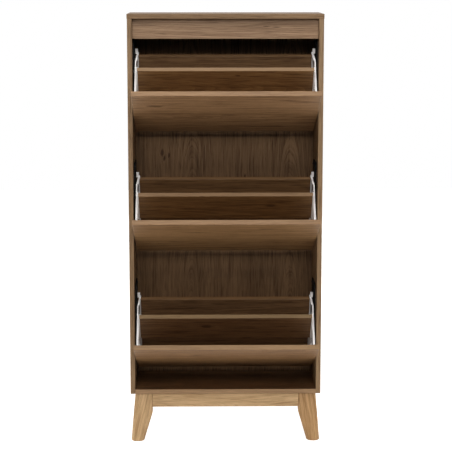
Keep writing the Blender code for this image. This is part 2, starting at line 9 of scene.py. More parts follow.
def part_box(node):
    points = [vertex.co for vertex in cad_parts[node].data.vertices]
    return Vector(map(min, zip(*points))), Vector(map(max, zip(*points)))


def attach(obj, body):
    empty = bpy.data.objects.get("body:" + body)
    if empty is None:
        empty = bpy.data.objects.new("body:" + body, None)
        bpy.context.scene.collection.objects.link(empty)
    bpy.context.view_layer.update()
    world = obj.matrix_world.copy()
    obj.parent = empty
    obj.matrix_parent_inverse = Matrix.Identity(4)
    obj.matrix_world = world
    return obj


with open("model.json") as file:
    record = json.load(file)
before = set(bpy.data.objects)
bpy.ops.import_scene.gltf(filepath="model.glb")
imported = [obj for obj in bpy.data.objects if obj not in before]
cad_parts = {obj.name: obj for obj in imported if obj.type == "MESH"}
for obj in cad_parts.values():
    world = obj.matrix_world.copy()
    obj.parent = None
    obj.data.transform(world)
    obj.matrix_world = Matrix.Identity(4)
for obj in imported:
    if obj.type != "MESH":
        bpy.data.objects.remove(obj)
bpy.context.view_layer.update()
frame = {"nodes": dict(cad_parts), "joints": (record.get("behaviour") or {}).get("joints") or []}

# ---------------------------------------------------------------- studio
# A white floor that runs on behind the cabinet into a white backdrop. Soft lamps stand in front of the
# cabinet, at its sides and behind it, and the camera is a little above its top and to its left.
FRONT_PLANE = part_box("side_panel_left")[0].y    # front edges of the sides
CAMERA_LEFT = 0.077                             # camera from the cabinet's middle
CAMERA_BACK = 5.073                             # and from the front plane
CAMERA_HEIGHT = 1.577
CAMERA_DIP = math.radians(9.22)
CAMERA_SHIFT = 0.00095
SENSOR = 36.0                                   # mm
LENS = 121.74
FLOOR_COLOUR = (0.90, 0.87, 0.82, 1.0)
FLOOR_SIZE = 8.0
FLOOR_MIDDLE = 2.3                              # behind the cabinet
FLOOR_GLOW = 0.84                               # its own white, where it is seen
BACKDROP = (0.0, 0.5)                           # how far back a direction points, from dark to white
CEILING = (0.6, 0.95)                           # and how far up
SKY_LIGHT = 0.25                                # strength of the backdrop as a light
LAMP_AIM = Vector((0.0, 0.0, 0.8))
LAMP_REACH = 5.0                                # lamps from the spot they point at
LAMP_WIDTH = 3.0


def add_node(tree, kind, settings=None, inputs=None):
    """A node with its settings, and each input given a value or joined to another node's socket."""
    made = tree.nodes.new(kind)
    for key, value in (settings or {}).items():
        setattr(made, key, value)
    for key, value in (inputs or {}).items():
        if isinstance(value, bpy.types.NodeSocket):
            tree.links.new(value, made.inputs[key])
        else:
            made.inputs[key].default_value = value
    return made


def calc(tree, operation, first, second=0.0, third=0.0, clamp=False):
    """The result of one Math node."""
    settings = {"operation": operation, "use_clamp": clamp}
    return add_node(tree, "ShaderNodeMath", settings, {0: first, 1: second, 2: third}).outputs[0]


def ramp(tree, value, low, high, start=0.0, end=1.0):
    """A value eased from start to end while it goes from low to high."""
    settings = {"interpolation_type": "SMOOTHSTEP"}
    inputs = {"Value": value, "From Min": low, "From Max": high, "To Min": start, "To Max": end}
    return add_node(tree, "ShaderNodeMapRange", settings, inputs).outputs["Result"]


def seen_directly(tree):
    """Whether a ray comes from the camera or through glass, and whether it comes off a gloss, as 1 or 0."""
    rays = add_node(tree, "ShaderNodeLightPath").outputs
    return calc(tree, "MAXIMUM", rays["Is Camera Ray"], rays["Is Transmission Ray"]), rays["Is Glossy Ray"]


world = bpy.data.worlds.new("studio")
bpy.context.scene.world = world
world.use_nodes = True
sky = world.node_tree
toward = add_node(sky, "ShaderNodeSeparateXYZ", None,
                  {0: add_node(sky, "ShaderNodeTexCoord").outputs["Generated"]})
behind = ramp(sky, toward.outputs["Y"], *BACKDROP)
overhead = ramp(sky, toward.outputs["Z"], *CEILING)
light = calc(sky, "MULTIPLY", calc(sky, "MAXIMUM", behind, overhead), SKY_LIGHT)
seen, mirrored = seen_directly(sky)
white = calc(sky, "MAXIMUM", seen, calc(sky, "MULTIPLY", mirrored, behind))
level = add_node(sky, "ShaderNodeMix", {"data_type": "FLOAT"}, {0: white, 2: light, 3: 1.0}).outputs[0]
sky.links.new(level, sky.nodes["Background"].inputs["Strength"])
sky.nodes["Background"].inputs["Color"].default_value = (1.0, 1.0, 1.0, 1.0)

bpy.ops.object.select_all(action="DESELECT")
bpy.ops.mesh.primitive_plane_add(size=FLOOR_SIZE, location=(0, FLOOR_MIDDLE, 0))
floor = bpy.context.object
floor.name = "studio_floor"
white_floor = bpy.data.materials.new("white_floor")
white_floor.use_nodes = True
paint = white_floor.node_tree
paint_shader = paint.nodes["Principled BSDF"]
paint_shader.inputs["Base Color"].default_value = FLOOR_COLOUR
paint_shader.inputs["Roughness"].default_value = 0.9
paint_shader.inputs["Specular IOR Level"].default_value = 0.1
paint_shader.inputs["Emission Color"].default_value = (1.0, 1.0, 1.0, 1.0)
glow = calc(paint, "MULTIPLY", calc(paint, "MAXIMUM", *seen_directly(paint)), FLOOR_GLOW)
paint.links.new(glow, paint_shader.inputs["Emission Strength"])
floor.data.materials.append(white_floor)


def lamp(name, turn, rise, height, power):
    """A wide soft lamp that points at the cabinet, turn degrees round from its front and rise above level."""
    turn, rise = math.radians(turn), math.radians(rise)
    away = Vector((math.sin(turn) * math.cos(rise), -math.cos(turn) * math.cos(rise), math.sin(rise)))
    place = LAMP_AIM + away * LAMP_REACH
    bpy.ops.object.light_add(type="AREA", location=place)
    made = bpy.context.object
    made.name = name
    made.data.shape = "RECTANGLE"
    made.data.size = LAMP_WIDTH
    made.data.size_y = height
    made.data.energy = power
    made.rotation_euler = (-away).to_track_quat("-Z", "Y").to_euler()
    made.visible_camera = False


lamp("bounce_lamp", turn=0, rise=-8, height=0.3, power=6)
lamp("fill_lamp", turn=0, rise=14, height=0.6, power=5)
lamp("low_lamp", turn=0, rise=25, height=1.0, power=78)
lamp("key_lamp", turn=0, rise=49, height=1.4, power=84)
lamp("top_lamp", turn=0, rise=66, height=1.6, power=64)
lamp("left_lamp", turn=-115, rise=12, height=1.4, power=85)
lamp("right_lamp", turn=115, rise=12, height=1.4, power=85)
lamp("rear_lamp", turn=180, rise=2, height=0.8, power=55)

bpy.ops.object.camera_add(location=(-CAMERA_LEFT, FRONT_PLANE - CAMERA_BACK, CAMERA_HEIGHT),
                          rotation=(math.pi / 2 - CAMERA_DIP, 0.0, -math.atan(CAMERA_LEFT / CAMERA_BACK)))
camera = bpy.context.object
camera.data.sensor_width = SENSOR
camera.data.lens = LENS
camera.data.shift_x = CAMERA_SHIFT
bpy.context.scene.camera = camera
bpy.context.scene.view_settings.view_transform = "Standard"


# ---------------------------------------------------------------- base
# Four splayed legs with aprons between them, fixed under the bottom panel. All are solid oak with a clear
# matt lacquer. The grain runs along each leg and each apron, and the pores are fine and dark.
OAK = ((0.625, 0.420, 0.228), (0.385, 0.226, 0.102), (0.235, 0.125, 0.050))     # early wood, late wood, pores
EVEN = (1.0, 1.0, 1.0)          # a tint that changes nothing
SIDEWAYS = (1, 0, 0)
BACKWARD = (0, 1, 0)
UPWARD = (0, 0, 1)
LEG_TINTS = {"front_left": (1.17, 1.19, 1.18), "front_right": (0.98, 0.89, 0.76),
             "rear_left": EVEN, "rear_right": EVEN}
LONG_APRON_TINT = (1.22, 1.25, 1.25)
LEG_LEAN = 0.18                 # the legs' grain, sideways for each metre up

SWEEPS = (1.5, 3.0, 3.0)        # features of the wood in each metre along, across and through a board
WAVERS = (8.0, 30.0, 30.0)
PATCHES = (1.4, 9.0, 9.0)
STREAKS = (3.5, 80.0, 80.0)
MARKS = (9.0, 210.0, 210.0)
FIBRES = (14.0, 420.0, 420.0)
PORES = (24.0, 900.0, 900.0)
SWEEP_REACH = 0.030             # how far the grain strays sideways, in metres
WAVER_REACH = 0.004
YEARS = 0.45                    # bands of wide and narrow years for each ring
YEAR_WAVER = 2.0                # rings that a band moves the next one by
SPECKLE = (0.53, 0.66)          # noise from a faint mark or pore to a full one
PORED_RING = (0.85, 0.35)       # how far through a ring its pores fade in

MIDDLE_TONE = 0.66              # tone runs from 0, late wood, to 1, early wood, with these shares in it
RING_SHARE = 0.35
PATCH_SHARE = 0.9
FIBRE_SHARE = 1.1
MARK_SHARE = -0.30
KNOT_SHARE = -0.60
KNOT_DARK = 0.60                # how far a knot takes the pores' colour
FIBRE_RELIEF = 0.4              # fibres' height against a pore's depth
GRAIN_RELIEF = 0.0001           # a pore's depth in metres
PORE_DARK = 0.5                 # how far a pore takes the pores' colour
PORE_MATT = 0.15                # how much rougher it is
WOOD_ROUGHNESS = 0.52
WOOD_SHINE = 0.4


def new_group(name, inputs, outputs):
    """An empty shader node group with named sockets."""
    group = bpy.data.node_groups.new(name, "ShaderNodeTree")
    for label, kind, value in inputs:
        socket = group.interface.new_socket(label, in_out="INPUT", socket_type="NodeSocket" + kind)
        socket.default_value = value
    for label, kind in outputs:
        group.interface.new_socket(label, in_out="OUTPUT", socket_type="NodeSocket" + kind)
    return group, add_node(group, "NodeGroupInput").outputs, add_node(group, "NodeGroupOutput").inputs


def combine(tree, operation, first, second, third=(0.0, 0.0, 0.0)):
    """The result of one Vector Math node."""
    return add_node(tree, "ShaderNodeVectorMath", {"operation": operation},
                    {0: first, 1: second, 2: third}).outputs[0]


def grouped(tree, group, inputs):
    """What one use of a node group puts out."""
    return add_node(tree, "ShaderNodeGroup", {"node_tree": group}, inputs).outputs


def mix(tree, share, first, second):
    """A colour blended from the first to the second."""
    return add_node(tree, "ShaderNodeMix", {"data_type": "RGBA"}, {0: share, 6: first, 7: second}).outputs[2]


def parts_of(tree, vector):
    """A vector's three numbers, under X, Y and Z."""
    return add_node(tree, "ShaderNodeSeparateXYZ", None, {0: vector}).outputs


def off_middle(tree, noise):
    """Noise as its distance from its middle, 0.5."""
    return calc(tree, "SUBTRACT", noise, 0.5)


def stretched_noise(tree, place, scale, detail, roughness=0.5):
    """Noise whose grain is stretched: scale is in features per metre along, across and through the board."""
    inputs = {"Vector": combine(tree, "MULTIPLY", place, scale), "Scale": 1.0, "Detail": detail,
              "Roughness": roughness}
    return add_node(tree, "ShaderNodeTexNoise", None, inputs).outputs


def sway(tree, place, scale, reach):
    """A place moved sideways by slow noise, never along the grain."""
    centred = combine(tree, "SUBTRACT", stretched_noise(tree, place, scale, 2.0)["Color"], (0.5, 0.5, 0.5))
    return combine(tree, "MULTIPLY_ADD", centred, (0.0, reach, reach), place)


def wood_figure_group():
    """Growth rings cut by the board, fibres, streaks and short pores, from a place on the board."""
    inputs = [("Place", "Vector", (0, 0, 0)), ("Light", "Color", (1, 1, 1, 1)),
              ("Dark", "Color", (0, 0, 0, 1)), ("Pore", "Color", (0, 0, 0, 1)),
              ("Ring Pitch", "Float", 0.004), ("Arch", "Float", 0.08), ("Leaf", "Float", 0.3),
              ("Rings", "Float", 0.8), ("Streaks", "Float", 0.8), ("Knots", "Float", 0.0)]
    outputs = [("Color", "Color"), ("Roughness", "Float"), ("Height", "Float")]
    tree, given, out = new_group("wood_figure", inputs, outputs)
    place = sway(tree, given["Place"], SWEEPS, SWEEP_REACH)
    place = sway(tree, place, WAVERS, WAVER_REACH)
    axes = parts_of(tree, place)
    half_leaf = calc(tree, "MULTIPLY", given["Leaf"], 0.5)
    side = calc(tree, "WRAP", axes["Y"], half_leaf, calc(tree, "MULTIPLY", half_leaf, -1.0))
    deep = calc(tree, "MULTIPLY_ADD", axes["X"], given["Arch"], axes["Z"])
    squared = calc(tree, "ADD", calc(tree, "POWER", side, 2.0), calc(tree, "POWER", deep, 2.0))
    turns = calc(tree, "DIVIDE", calc(tree, "SQRT", squared), given["Ring Pitch"])
    inputs = {"W": calc(tree, "MULTIPLY", turns, YEARS), "Scale": 1.0, "Detail": 3.0, "Roughness": 0.65}
    bands = add_node(tree, "ShaderNodeTexNoise", {"noise_dimensions": "1D"}, inputs).outputs[0]
    late = calc(tree, "FRACT", calc(tree, "MULTIPLY_ADD", bands, YEAR_WAVER, turns))
    rings = calc(tree, "MULTIPLY_ADD", off_middle(tree, late), RING_SHARE, bands)
    streaks = stretched_noise(tree, place, STREAKS, 3.0, 0.75)[0]
    marks = ramp(tree, stretched_noise(tree, place, MARKS, 2.0)[0], *SPECKLE)
    fibres = stretched_noise(tree, place, FIBRES, 3.0, 0.6)[0]
    patches = stretched_noise(tree, place, PATCHES, 3.0)[0]
    tone = calc(tree, "MULTIPLY_ADD", off_middle(tree, rings), given["Rings"], MIDDLE_TONE)
    tone = calc(tree, "MULTIPLY_ADD", off_middle(tree, streaks), given["Streaks"], tone)
    tone = calc(tree, "MULTIPLY_ADD", marks, calc(tree, "MULTIPLY", given["Streaks"], MARK_SHARE), tone)
    tone = calc(tree, "MULTIPLY_ADD", off_middle(tree, fibres), FIBRE_SHARE, tone)
    tone = calc(tree, "MULTIPLY_ADD", off_middle(tree, patches), PATCH_SHARE, tone)
    tone = calc(tree, "MULTIPLY_ADD", given["Knots"], KNOT_SHARE, tone, clamp=True)
    body = mix(tree, tone, given["Dark"], given["Light"])
    pore_noise = stretched_noise(tree, place, PORES, 2.0)[0]
    pores = calc(tree, "MULTIPLY", ramp(tree, pore_noise, *SPECKLE), ramp(tree, late, *PORED_RING))
    pored = calc(tree, "MULTIPLY", pores, PORE_DARK)
    dark = calc(tree, "MAXIMUM", pored, calc(tree, "MULTIPLY", given["Knots"], KNOT_DARK))
    tree.links.new(mix(tree, dark, body, given["Pore"]), out["Color"])
    tree.links.new(calc(tree, "MULTIPLY_ADD", pores, PORE_MATT, WOOD_ROUGHNESS), out["Roughness"])
    tree.links.new(calc(tree, "SUBTRACT", calc(tree, "MULTIPLY", fibres, FIBRE_RELIEF), pores), out["Height"])
    return tree


WOOD_FIGURE = wood_figure_group()


def new_material(name):
    """A new material, and the place on the piece, which its patterns read."""
    made = bpy.data.materials.new(name)
    made.use_nodes = True
    return made, add_node(made.node_tree, "ShaderNodeTexCoord").outputs["Object"]


def wood_material(node, along, across):
    """A new material for a packed board, and the place on it, along and across its grain from its middle."""
    made, place = new_material(node + "_wood")
    low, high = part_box(node)
    turn = Matrix((Vector(along).normalized(), Vector(across).normalized(),
                   Vector(along).cross(Vector(across)).normalized()))
    inputs = {"Vector": place, "Rotation": turn.to_euler(), "Location": turn @ (low + high) * -0.5}
    return made, add_node(made.node_tree, "ShaderNodeMapping", None, inputs).outputs["Vector"]


def figure_on(tree, place, log, tones, arch, pitch=0.004, leaf=0.3, rings=0.7, streaks=1.5, dark=0.0):
    """The look of wood (Color, Roughness, Height) on a board whose middle was at the place log in its log.

    arch is how steeply the board climbs through the rings, pitch the width of a ring, and leaf the width of
    a leaf of veneer. rings and streaks are how strong each is, and dark is 1 in a knot.
    """
    light, deep, pore = tones
    inputs = {"Place": combine(tree, "ADD", place, log), "Light": light, "Dark": deep, "Pore": pore,
              "Ring Pitch": pitch, "Arch": arch, "Leaf": leaf, "Rings": rings, "Streaks": streaks,
              "Knots": dark}
    return grouped(tree, WOOD_FIGURE, inputs)


def tinted(tones, tint):
    """A wood's colours with red, green and blue scaled."""
    return [(*[a * b for a, b in zip(tone, tint)], 1.0) for tone in tones]


def give(node, material):
    """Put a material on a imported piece."""
    piece = frame["nodes"][node]
    piece.data.materials.clear()
    piece.data.materials.append(material)


def finish(made, look, relief, shine):
    """Link a look to a material's shader. relief is what a Height of 1 is in metres."""
    tree = made.node_tree
    shader = tree.nodes["Principled BSDF"]
    tree.links.new(look["Color"], shader.inputs["Base Color"])
    tree.links.new(look["Roughness"], shader.inputs["Roughness"])
    shader.inputs["Specular IOR Level"].default_value = shine
    inputs = {"Height": look["Height"], "Distance": relief, "Strength": 1.0}
    bump = add_node(tree, "ShaderNodeBump", None, inputs)
    tree.links.new(bump.outputs["Normal"], shader.inputs["Normal"])


def solid_oak(node, along, across, log, tint=EVEN, **figure):
    """Give a leg or an apron lacquered oak, with any of figure_on's values."""
    made, place = wood_material(node, along, across)
    look = figure_on(made.node_tree, place, log, tinted(OAK, tint), pitch=0.003, **figure)
    finish(made, look, GRAIN_RELIEF, WOOD_SHINE)
    give(node, made)


for count, (corner, tint) in enumerate(LEG_TINTS.items()):
    lean = math.copysign(LEG_LEAN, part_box(f"leg_{corner}")[0].x)
    solid_oak(f"leg_{corner}", (-lean, 0, 1), BACKWARD, log=(count * 0.7, 0.03, 0.05 + count * 0.02),
              tint=tint, arch=0.05, rings=1.0, streaks=1.9)
for count, place in enumerate(("front", "rear")):
    solid_oak(f"apron_{place}", SIDEWAYS, UPWARD, log=(count, 0.02, 0.04), tint=LONG_APRON_TINT,
              arch=0.03, rings=0.6, streaks=1.8)
for count, side in enumerate(("left", "right")):
    solid_oak(f"apron_{side}", BACKWARD, UPWARD, log=(count * 0.6, 0.03, 0.05), arch=0.04)


# ---------------------------------------------------------------- carcass
# Sides, top, bottom and front rail are 16 mm particle board under a brown oak foil, with the front and
# side edges banded in the same foil. The rear edges are bare. The back is a thin hardboard with the foil
# on its inner face, nailed to the sides and the bottom.
FOIL = ((0.350, 0.214, 0.110), (0.142, 0.073, 0.030), (0.060, 0.028, 0.012))
BACK_FOIL = ((0.360, 0.218, 0.108), (0.140, 0.078, 0.033), (0.070, 0.030, 0.010))
FOIL_THICKNESS = 0.0002
BACK_FOIL_THICKNESS = 0.0004
CHIPS = ((0.560, 0.420, 0.260), (0.300, 0.195, 0.105), 420.0)   # light and dark flakes, and flakes per metre
HARDBOARD = ((0.300, 0.190, 0.110), (0.190, 0.112, 0.060), 900.0)           # and the same of its fibres
RAIL_KNOTS = ((0.134, 0.008, 0.0013, 0.13), (0.168, 0.005, 0.0016, 0.13), (-0.034, 0.020, 0.0009, 0.05))
BACK_KNOTS = ((0.167, -0.218, 0.0055, 0.45), (0.147, -0.211, 0.0045, 0.45), (0.156, -0.197, 0.004, 0.45),
              (0.082, 0.071, 0.004, 0.45))
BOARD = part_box("top_panel")[1].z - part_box("top_panel")[0].z

NOISE_SPAN = (0.3, 0.7)         # most noise lies between these
KNOT_EDGES = (30.0, 90.0, 90.0)         # features per metre of a knot's uneven outline
KNOT_SPAN = (0.75, 1.25)        # its least and most width against its size
KNOT_FADE = (1.5, 0.3)          # its dark fades in between these shares of its size
KNOT_HEART = 0.05               # keeps the bend of the grain finite at its heart
FACE_ROUND = 0.0003             # a face gives way to its edge between these two depths
EDGE_START = 0.0007
END_START = 0.0004              # banding at a board's end is full at this depth
EDGE_CALM = 0.6                 # how far the banding's figure is paler than a face's
EDGE_LIGHT = 0.7                # light tone's share in the banding's plain colour
FLAKE_SHAPE = (0.35, 1.0, 1.0)  # a flake of bare board is longer along the board
FLAKE_SHARE = 0.45
DUST = 1400.0                   # specks per metre between the flakes
DUST_SHARE = 0.45
CLOUDS = 9.0                    # lighter and darker places per metre
CLOUD_SHARE = 0.5
FLAKE_RELIEF = -0.6
RAW_START = 0.0002              # bare board gives way to foil within this depth
RAW_MATT = 0.3                  # how much rougher it is


def knot_group():
    """Bends the grain round a knot, turns it into rings inside, and says how far the knot darkens it."""
    inputs = [("Place", "Vector", (0, 0, 0)), ("Heart", "Vector", (0, 0, 0)), ("Size", "Float", 0.006),
              ("Squeeze", "Float", 0.3)]
    tree, given, out = new_group("knot", inputs, [("Place", "Vector"), ("Dark", "Float")])
    away = parts_of(tree, combine(tree, "SUBTRACT", given["Place"], given["Heart"]))
    uneven = stretched_noise(tree, given["Place"], KNOT_EDGES, 2.0)[0]
    along = calc(tree, "MULTIPLY", away["X"], given["Squeeze"])
    across = calc(tree, "MULTIPLY", away["Y"], away["Y"])
    squared = calc(tree, "ADD", calc(tree, "MULTIPLY", along, along), across)
    outline = ramp(tree, uneven, *NOISE_SPAN, *KNOT_SPAN)
    distance = calc(tree, "MULTIPLY", calc(tree, "SQRT", squared), outline)
    turns = calc(tree, "DIVIDE", distance, given["Size"])
    near = calc(tree, "MAXIMUM", calc(tree, "MULTIPLY", turns, turns), KNOT_HEART)
    bend = calc(tree, "MAXIMUM", calc(tree, "SUBTRACT", 1.0, calc(tree, "DIVIDE", 1.0, near)), 0.0)
    inside = calc(tree, "MAXIMUM", calc(tree, "SUBTRACT", given["Size"], distance), 0.0)
    moved = calc(tree, "SUBTRACT", calc(tree, "MULTIPLY_ADD", away["Y"], bend, inside), away["Y"])
    shift = add_node(tree, "ShaderNodeCombineXYZ", None, {"Y": moved}).outputs[0]
    tree.links.new(combine(tree, "ADD", given["Place"], shift), out["Place"])
    tree.links.new(ramp(tree, turns, *KNOT_FADE), out["Dark"])
    return tree


def raw_board_group():
    """Bares a surface past a limit: pressed board with flakes of many browns between darker gaps."""
    inputs = [("Color", "Color", (1, 1, 1, 1)), ("Roughness", "Float", 0.5), ("Height", "Float", 0.0),
              ("Place", "Vector", (0, 0, 0)), ("Depth", "Float", 0.0), ("Limit", "Float", 1.0),
              ("Light", "Color", (1, 1, 1, 1)), ("Dark", "Color", (0, 0, 0, 1)), ("Flakes", "Float", 500.0)]
    outputs = [("Color", "Color"), ("Roughness", "Float"), ("Height", "Float")]
    tree, given, out = new_group("raw_board", inputs, outputs)
    flat = combine(tree, "MULTIPLY", given["Place"], FLAKE_SHAPE)
    flakes = add_node(tree, "ShaderNodeTexVoronoi", {"feature": "F1"},
                      {"Vector": flat, "Scale": given["Flakes"], "Randomness": 1.0}).outputs
    tint = parts_of(tree, flakes["Color"])["X"]
    dust = add_node(tree, "ShaderNodeTexNoise", None,
                    {"Vector": given["Place"], "Scale": DUST, "Detail": 3.0}).outputs[0]
    cloud = add_node(tree, "ShaderNodeTexNoise", None,
                     {"Vector": given["Place"], "Scale": CLOUDS, "Detail": 3.0}).outputs[0]
    tone = calc(tree, "MULTIPLY_ADD", tint, FLAKE_SHARE, calc(tree, "MULTIPLY", dust, DUST_SHARE))
    tone = calc(tree, "MULTIPLY_ADD", off_middle(tree, cloud), CLOUD_SHARE, tone, clamp=True)
    pressed = mix(tree, tone, given["Dark"], given["Light"])
    bare = ramp(tree, given["Depth"], calc(tree, "SUBTRACT", given["Limit"], RAW_START), given["Limit"])
    rise = calc(tree, "SUBTRACT", calc(tree, "MULTIPLY_ADD", flakes["Distance"], FLAKE_RELIEF, dust),
                given["Height"])
    tree.links.new(mix(tree, bare, given["Color"], pressed), out["Color"])
    tree.links.new(calc(tree, "MULTIPLY_ADD", bare, RAW_MATT, given["Roughness"]), out["Roughness"])
    tree.links.new(calc(tree, "MULTIPLY_ADD", bare, rise, given["Height"]), out["Height"])
    return tree


def turned_end_group():
    """Turns the grain at both ends of a board, half its length out, to run along the end."""
    inputs = [("Place", "Vector", (0, 0, 0)), ("Half", "Float", 0.3)]
    tree, given, out = new_group("turned_end", inputs, [("Place", "Vector")])
    axes = parts_of(tree, given["Place"])
    turned = add_node(tree, "ShaderNodeCombineXYZ", None, {0: axes["Y"], 1: axes["Z"], 2: axes["X"]})
    at_end = ramp(tree, calc(tree, "ABSOLUTE", axes["X"]), calc(tree, "SUBTRACT", given["Half"], EDGE_START),
                  calc(tree, "SUBTRACT", given["Half"], END_START))
    inputs = {0: at_end, 4: given["Place"], 5: turned.outputs[0]}
    place = add_node(tree, "ShaderNodeMix", {"data_type": "VECTOR"}, inputs).outputs[1]
    tree.links.new(place, out["Place"])
    return tree


def banded_edge_group():
    """Calms a board's colour on its edges towards a plain one, and scales it there; the scale paints the
    edges' light against the faces' shade.
    """
    inputs = [("Place", "Vector", (0, 0, 0)), ("Color", "Color", (1, 1, 1, 1)),
              ("Plain", "Color", (1, 1, 1, 1)), ("Scale", "Color", (1, 1, 1, 1))]
    tree, given, out = new_group("banded_edge", inputs, [("Color", "Color")])
    from_middle = calc(tree, "ABSOLUTE", parts_of(tree, given["Place"])["Z"])
    on_edge = ramp(tree, from_middle, BOARD / 2 - FACE_ROUND, BOARD / 2 - EDGE_START)
    calm = mix(tree, calc(tree, "MULTIPLY", on_edge, EDGE_CALM), given["Color"], given["Plain"])
    scale = mix(tree, on_edge, (*EVEN, 1.0), given["Scale"])
    tree.links.new(combine(tree, "MULTIPLY", calm, scale), out["Color"])
    return tree


KNOT = knot_group()
RAW_BOARD = raw_board_group()
TURNED_END = turned_end_group()
BANDED_EDGE = banded_edge_group()


def foiled(node, along, across, log, tint, tones=FOIL, knots=(), banded=None, band=None, raw=None,
           shine=WOOD_SHINE, **figure):
    """Give a packed board a wood foil whose grain runs along one axis, with any of figure_on's values.

    Each knot has its place along and across, its size and how far it is drawn out. tint scales red, green
    and blue on the faces, and band does so on the edges; on many boards these tints are painted light and
    shade, with band making edges lighter than shaded faces. banded is half the length of a board whose ends
    are banded. raw is the axis and the place on it past which the pressed board is bare, and the board's
    look.
    """
    made, middle = wood_material(node, along, across)
    tree = made.node_tree
    place = middle
    dark = 0.0
    if banded:
        place = grouped(tree, TURNED_END, {"Place": middle, "Half": banded})["Place"]
    for spot, reach, size, squeeze in knots:
        inputs = {"Place": place, "Heart": (spot, reach, 0.0), "Size": size, "Squeeze": squeeze}
        bent = grouped(tree, KNOT, inputs)
        place = bent["Place"]
        dark = calc(tree, "MAXIMUM", dark, bent["Dark"])
    light, deep, pore = tinted(tones, tint)
    look = dict(figure_on(tree, place, log, (light, deep, pore), dark=dark, **figure).items())
    if band:
        plain = [EDGE_LIGHT * a + (1 - EDGE_LIGHT) * b for a, b in zip(light, deep)]
        scale = (*[b / a for a, b in zip(tint, band)], 1.0)
        inputs = {"Place": middle, "Color": look["Color"], "Plain": plain, "Scale": scale}
        look["Color"] = grouped(tree, BANDED_EDGE, inputs)["Color"]
    if raw:
        axis, limit, pale, brown, flakes = raw
        inputs = {"Place": middle, "Depth": parts_of(tree, middle)[axis], "Limit": limit,
                  "Light": (*pale, 1.0), "Dark": (*brown, 1.0), "Flakes": flakes}
        look = grouped(tree, RAW_BOARD, {**look, **inputs})
    finish(made, look, GRAIN_RELIEF, shine)
    give(node, made)


side_low, side_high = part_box("side_panel_left")
top_low, top_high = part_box("top_panel")
back_low, back_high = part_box("back_panel")
side_raw = ("Y", (side_high.y - side_low.y) / 2 - FOIL_THICKNESS, *CHIPS)
top_raw = ("Y", (top_high.y - top_low.y) / 2 - FOIL_THICKNESS, *CHIPS)
back_raw = ("Z", (back_high.y - back_low.y) / 2 - BACK_FOIL_THICKNESS, *HARDBOARD)

# the top's tint is painted shade: it darkens the whole board, top face and front edge
foiled("top_panel", SIDEWAYS, BACKWARD, log=(0.3, 0.05, 0.06), tint=(0.84, 0.83, 0.79),
       banded=(top_high.x - top_low.x) / 2, raw=top_raw, arch=0.05, streaks=0.9)
# the rail's tint is partly its own lighter, pinker tone and partly painted light against the shade under the
# top's overhang
foiled("top_rail", SIDEWAYS, UPWARD, log=(0.9, 0.08, 0.04), tint=(1.24, 1.28, 1.44), knots=RAIL_KNOTS,
       pitch=0.003, arch=0.03, streaks=1.0)
# the bottom's tint is painted shade on its top face inside the lowest niche, and band is painted light on its
# front edge
foiled("bottom_panel", SIDEWAYS, BACKWARD, log=(1.3, 0.05, 0.06), tint=(0.50, 0.42, 0.34),
       band=(1.36, 1.38, 1.40), arch=0.05)
foiled("side_panel_left", UPWARD, BACKWARD, log=(0.0, 0.05, 0.06), tint=(0.91, 0.93, 0.92), raw=side_raw,
       arch=0.05, streaks=1.1)
foiled("side_panel_right", UPWARD, BACKWARD, log=(2.0, 0.07, 0.07), tint=(1.07, 1.12, 1.15), raw=side_raw,
       arch=0.05, streaks=1.1)
# the back's tint is painted shade, darkening it for the niches it closes
foiled("back_panel", UPWARD, SIDEWAYS, log=(0.4, 0.117, 0.03), tint=(0.64, 0.59, 0.56), tones=BACK_FOIL,
       knots=BACK_KNOTS, raw=back_raw, shine=0.2, pitch=0.0024, arch=0.07, leaf=0.347, rings=1.1)


# ---------------------------------------------------------------- hinge plates
# A black moulded plastic plate for each end of each flap, screwed to the inside of a side panel. Its pin
# carries the tip frame and its slot stops the frame's stud.
TIERS = ("upper", "middle", "lower")
SIDES = {"left": -1, "right": 1}
TEXTURE = (1800.0, 1800.0, 1800.0)      # features per metre of the mould's spark-eroded surface
GLOSS_PATCHES = (25.0, 25.0, 25.0)      # and of its uneven gloss
GLOSS_SPREAD = 0.05
PATCH_TONE = 0.94                       # a dull patch's colour against a bright one's


def moulded_surface_group():
    """The fine texture and the slightly uneven gloss of moulded plastic."""
    inputs = [("Place", "Vector", (0, 0, 0)), ("Dull", "Color", (0, 0, 0, 1)),
              ("Bright", "Color", (1, 1, 1, 1)), ("Roughness", "Float", 0.5)]
    outputs = [("Color", "Color"), ("Roughness", "Float"), ("Height", "Float")]
    tree, given, out = new_group("moulded_surface", inputs, outputs)
    cloud = stretched_noise(tree, given["Place"], GLOSS_PATCHES, 3.0)[0]
    tone = mix(tree, ramp(tree, cloud, *NOISE_SPAN), given["Dull"], given["Bright"])
    spread = ramp(tree, cloud, *NOISE_SPAN, -GLOSS_SPREAD, GLOSS_SPREAD)
    tree.links.new(tone, out["Color"])
    tree.links.new(calc(tree, "ADD", given["Roughness"], spread), out["Roughness"])
    tree.links.new(stretched_noise(tree, given["Place"], TEXTURE, 2.0)[0], out["Height"])
    return tree


MOULDED_SURFACE = moulded_surface_group()


def moulded(name, colour, roughness, shine, texture):
    """A moulded plastic whose texture is so many metres deep."""
    made, place = new_material(name)
    dull = [channel * PATCH_TONE for channel in colour]
    inputs = {"Place": place, "Dull": (*dull, 1.0), "Bright": (*colour, 1.0), "Roughness": roughness}
    finish(made, grouped(made.node_tree, MOULDED_SURFACE, inputs), texture, shine)
    return made


black_plastic = moulded("black_plastic", (0.006, 0.006, 0.006), roughness=0.62, shine=0.18, texture=0.00006)
for tier in TIERS:
    for side in SIDES:
        give(f"{tier}_hinge_plate_{side}", black_plastic)
